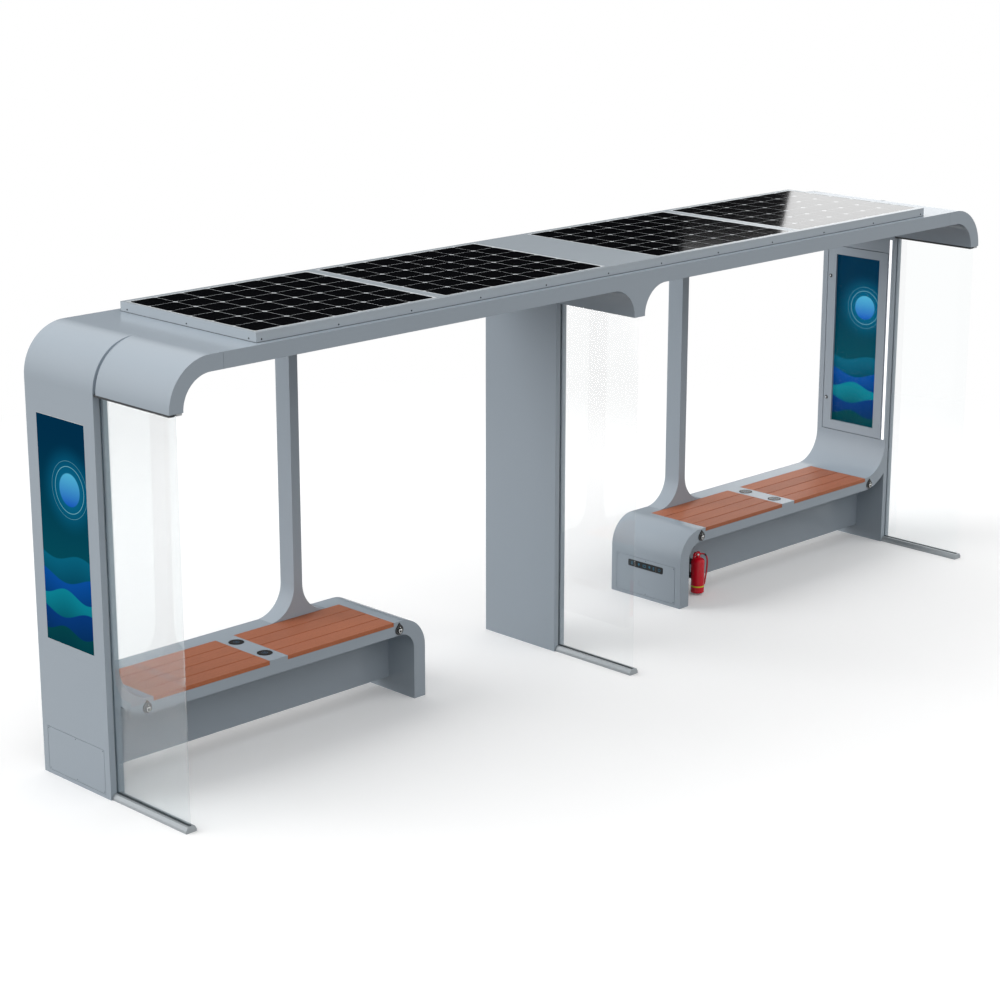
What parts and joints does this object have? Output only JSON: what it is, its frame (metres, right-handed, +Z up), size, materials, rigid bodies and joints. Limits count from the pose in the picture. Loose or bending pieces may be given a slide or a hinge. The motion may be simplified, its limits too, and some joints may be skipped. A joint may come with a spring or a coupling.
{
  "type": "bus shelter",
  "caption": "Long open bus shelter: folded grey ribbon forms roof, end pylons and slatted benches, with glass wind fins, solar roof panels, poster cases and charging pads.",
  "frame": {"origin": "on the ground under the middle of the roof", "axes": "+X along the shelter, to the right for someone who looks at its open front; -Y towards the open front and the road; +Z up"},
  "size_m": [7.18, 1.3, 2.656],
  "materials": {
    "grey_paint": "satin powder coat",
    "seat_wood": "oiled",
    "clear_glass": "clear toughened",
    "case_pane": "clear",
    "rail_metal": "satin powder coat",
    "screen_face": "glossy",
    "solar_cells": "glossy dark",
    "poster_face": "smooth print",
    "light_diffuser": "opal",
    "dark_label": "matt",
    "pad_plastic": "glossy",
    "hook_metal": "polished",
    "clamp_rubber": "matt",
    "lock_steel": "brushed",
    "hinge_steel": "satin",
    "red_enamel": "gloss enamel",
    "black_metal": "satin black",
    "red_rubber": "satin"
  },
  "bodies": {
    "shelter": {"bag_hooks": "hook_metal", "case_hinges": "hinge_steel", "centre_column": "grey_paint", "centre_glass_fin": "clear_glass", "centre_roof": "grey_paint", "charging_pads": "pad_plastic", "extinguisher_bottle": "red_enamel", "extinguisher_bracket": "black_metal", "extinguisher_hose": "red_rubber", "extinguisher_valve": "red_enamel", "floor_rails": "rail_metal", "icon_strips": "dark_label", "led_strips": "light_diffuser", "left_apron": "grey_paint", "left_bench_frame": "grey_paint", "left_glass_fin": "clear_glass", "left_pylon_foot": "grey_paint", "left_pylon_panel": "grey_paint", "left_pylon_shoulder": "grey_paint", "left_roof": "grey_paint", "left_wing": "grey_paint", "leg_hatches": "grey_paint", "outer_screens": "screen_face", "poster_boards": "poster_face", "pylon_hatches": "grey_paint", "rear_posts": "grey_paint", "right_apron": "grey_paint", "right_bench_frame": "grey_paint", "right_glass_fin": "clear_glass", "right_pylon_foot": "grey_paint", "right_pylon_panel": "grey_paint", "right_pylon_shoulder": "grey_paint", "right_roof": "grey_paint", "right_wing": "grey_paint", "seat_boards": "seat_wood", "solar_panels": "solar_cells", "solar_tray": "grey_paint", "wing_clamps": "clamp_rubber"},
    "left_poster_door": {"left_case_door": "grey_paint", "left_case_glass": "case_pane", "left_case_locks": "lock_steel"},
    "right_poster_door": {"right_case_door": "grey_paint", "right_case_glass": "case_pane", "right_case_locks": "lock_steel"}
  },
  "joints": [
    {"name": "left_door_hinge", "type": "hinge", "parent": "shelter", "child": "left_poster_door", "pos_m": [-3.493, 0.0595, 1.486], "axis": [0, 0, -1], "range_deg": [0, 100]},
    {"name": "right_door_hinge", "type": "hinge", "parent": "shelter", "child": "right_poster_door", "pos_m": [3.493, 0.0595, 1.486], "axis": [0, 0, 1], "range_deg": [0, 100]}
  ]
}
